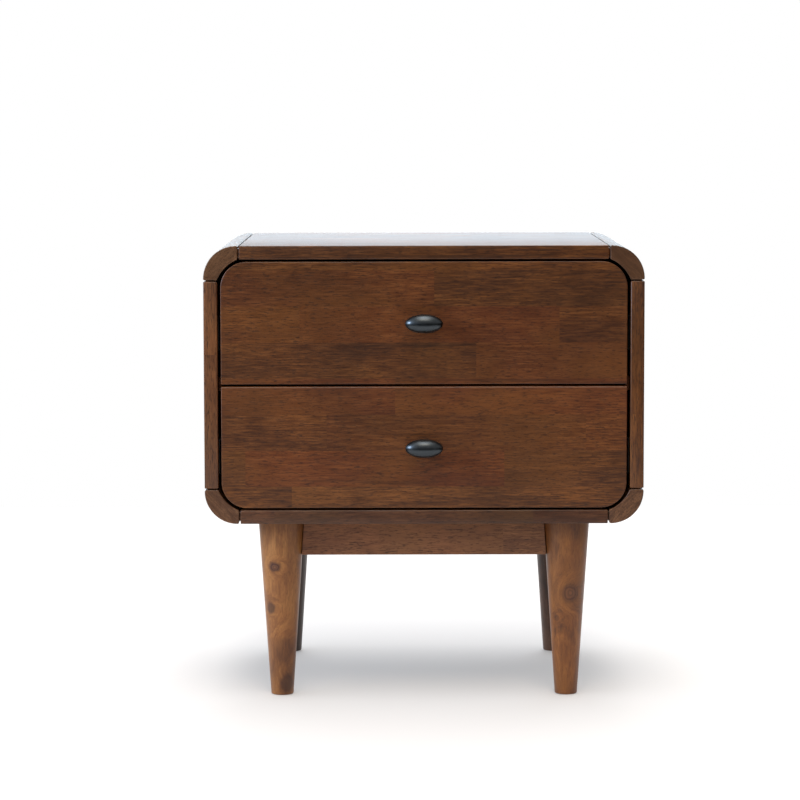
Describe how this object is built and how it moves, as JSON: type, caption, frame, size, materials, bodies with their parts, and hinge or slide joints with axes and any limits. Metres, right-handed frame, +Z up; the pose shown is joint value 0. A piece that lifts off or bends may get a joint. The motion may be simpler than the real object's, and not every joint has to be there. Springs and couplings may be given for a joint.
{
  "type": "nightstand",
  "caption": "Rounded case with V-grooved corner blocks on straight tapered legs, holding inset drawers that pull out on telescopic slides by oval knobs.",
  "frame": {"origin": "on the floor, at the middle of the box around the whole piece, knobs included", "axes": "+Z up, +X to the right as seen from the front, and the front with its drawers faces -Y"},
  "size_m": [0.56, 0.437, 0.583],
  "materials": {
    "walnut_lacquer": "walnut-stained hardwood under satin lacquer",
    "leg_wood": "turned hardwood, lighter stain, satin lacquer",
    "stained_plywood": "plywood, walnut-stained, satin",
    "plywood": "plywood, clear sealed",
    "pale_wood": "plain hardwood, clear sealed",
    "gunmetal": "cast metal, dark gunmetal, satin",
    "black_rail": "black electro-coated rolled steel",
    "zinc_screw": "zinc-plated steel"
  },
  "bodies": {
    "case": {"top_panel": "walnut_lacquer", "bottom_panel": "walnut_lacquer", "left_side_panel": "walnut_lacquer", "right_side_panel": "walnut_lacquer", "corner_block_top_left": "walnut_lacquer", "corner_block_top_right": "walnut_lacquer", "corner_block_bottom_left": "walnut_lacquer", "corner_block_bottom_right": "walnut_lacquer", "back_panel": "stained_plywood", "back_panel_screws": "zinc_screw", "front_divider_rail": "walnut_lacquer", "rear_divider_rail": "walnut_lacquer", "case_dowels": "pale_wood", "leg_front_left": "leg_wood", "leg_front_right": "leg_wood", "leg_rear_left": "leg_wood", "leg_rear_right": "leg_wood", "front_apron": "walnut_lacquer", "rear_apron": "walnut_lacquer", "left_apron": "walnut_lacquer", "right_apron": "walnut_lacquer", "apron_dowels": "pale_wood", "corner_braces": "pale_wood", "brace_screws": "zinc_screw", "leg_bolts": "zinc_screw", "leg_bolt_washers": "zinc_screw", "leg_bolt_nuts": "zinc_screw", "upper_left_cabinet_rail": "black_rail", "upper_right_cabinet_rail": "black_rail", "lower_left_cabinet_rail": "black_rail", "lower_right_cabinet_rail": "black_rail", "cabinet_rail_screws": "zinc_screw"},
    "upper_drawer": {"upper_front": "walnut_lacquer", "upper_box_front": "pale_wood", "upper_box_back": "pale_wood", "upper_box_left_side": "pale_wood", "upper_box_right_side": "pale_wood", "upper_box_bottom": "plywood", "upper_front_screws": "zinc_screw", "upper_knob": "gunmetal", "upper_knob_screw": "zinc_screw", "upper_left_drawer_rail": "black_rail", "upper_right_drawer_rail": "black_rail", "upper_drawer_rail_screws": "zinc_screw"},
    "lower_drawer": {"lower_front": "walnut_lacquer", "lower_box_front": "pale_wood", "lower_box_back": "pale_wood", "lower_box_left_side": "pale_wood", "lower_box_right_side": "pale_wood", "lower_box_bottom": "plywood", "lower_front_screws": "zinc_screw", "lower_knob": "gunmetal", "lower_knob_screw": "zinc_screw", "lower_left_drawer_rail": "black_rail", "lower_right_drawer_rail": "black_rail", "lower_drawer_rail_screws": "zinc_screw"},
    "upper_left_slide": {"upper_left_middle_rail": "black_rail"},
    "upper_right_slide": {"upper_right_middle_rail": "black_rail"},
    "lower_left_slide": {"lower_left_middle_rail": "black_rail"},
    "lower_right_slide": {"lower_right_middle_rail": "black_rail"}
  },
  "joints": [
    {"name": "upper_drawer_pull", "type": "slide", "parent": "case", "child": "upper_drawer", "axis": [0, -1, 0], "range_m": [0, 0.32]},
    {"name": "lower_drawer_pull", "type": "slide", "parent": "case", "child": "lower_drawer", "axis": [0, -1, 0], "range_m": [0, 0.32]},
    {"name": "upper_left_middle_slide", "type": "slide", "parent": "case", "child": "upper_left_slide", "axis": [0, -1, 0], "range_m": [0, 0.16]},
    {"name": "upper_right_middle_slide", "type": "slide", "parent": "case", "child": "upper_right_slide", "axis": [0, -1, 0], "range_m": [0, 0.16]},
    {"name": "lower_left_middle_slide", "type": "slide", "parent": "case", "child": "lower_left_slide", "axis": [0, -1, 0], "range_m": [0, 0.16]},
    {"name": "lower_right_middle_slide", "type": "slide", "parent": "case", "child": "lower_right_slide", "axis": [0, -1, 0], "range_m": [0, 0.16]}
  ],
  "couplings": [
    {"joint": "upper_left_middle_slide", "follows": "upper_drawer_pull", "ratio": 0.5},
    {"joint": "upper_right_middle_slide", "follows": "upper_drawer_pull", "ratio": 0.5},
    {"joint": "lower_left_middle_slide", "follows": "lower_drawer_pull", "ratio": 0.5},
    {"joint": "lower_right_middle_slide", "follows": "lower_drawer_pull", "ratio": 0.5}
  ]
}
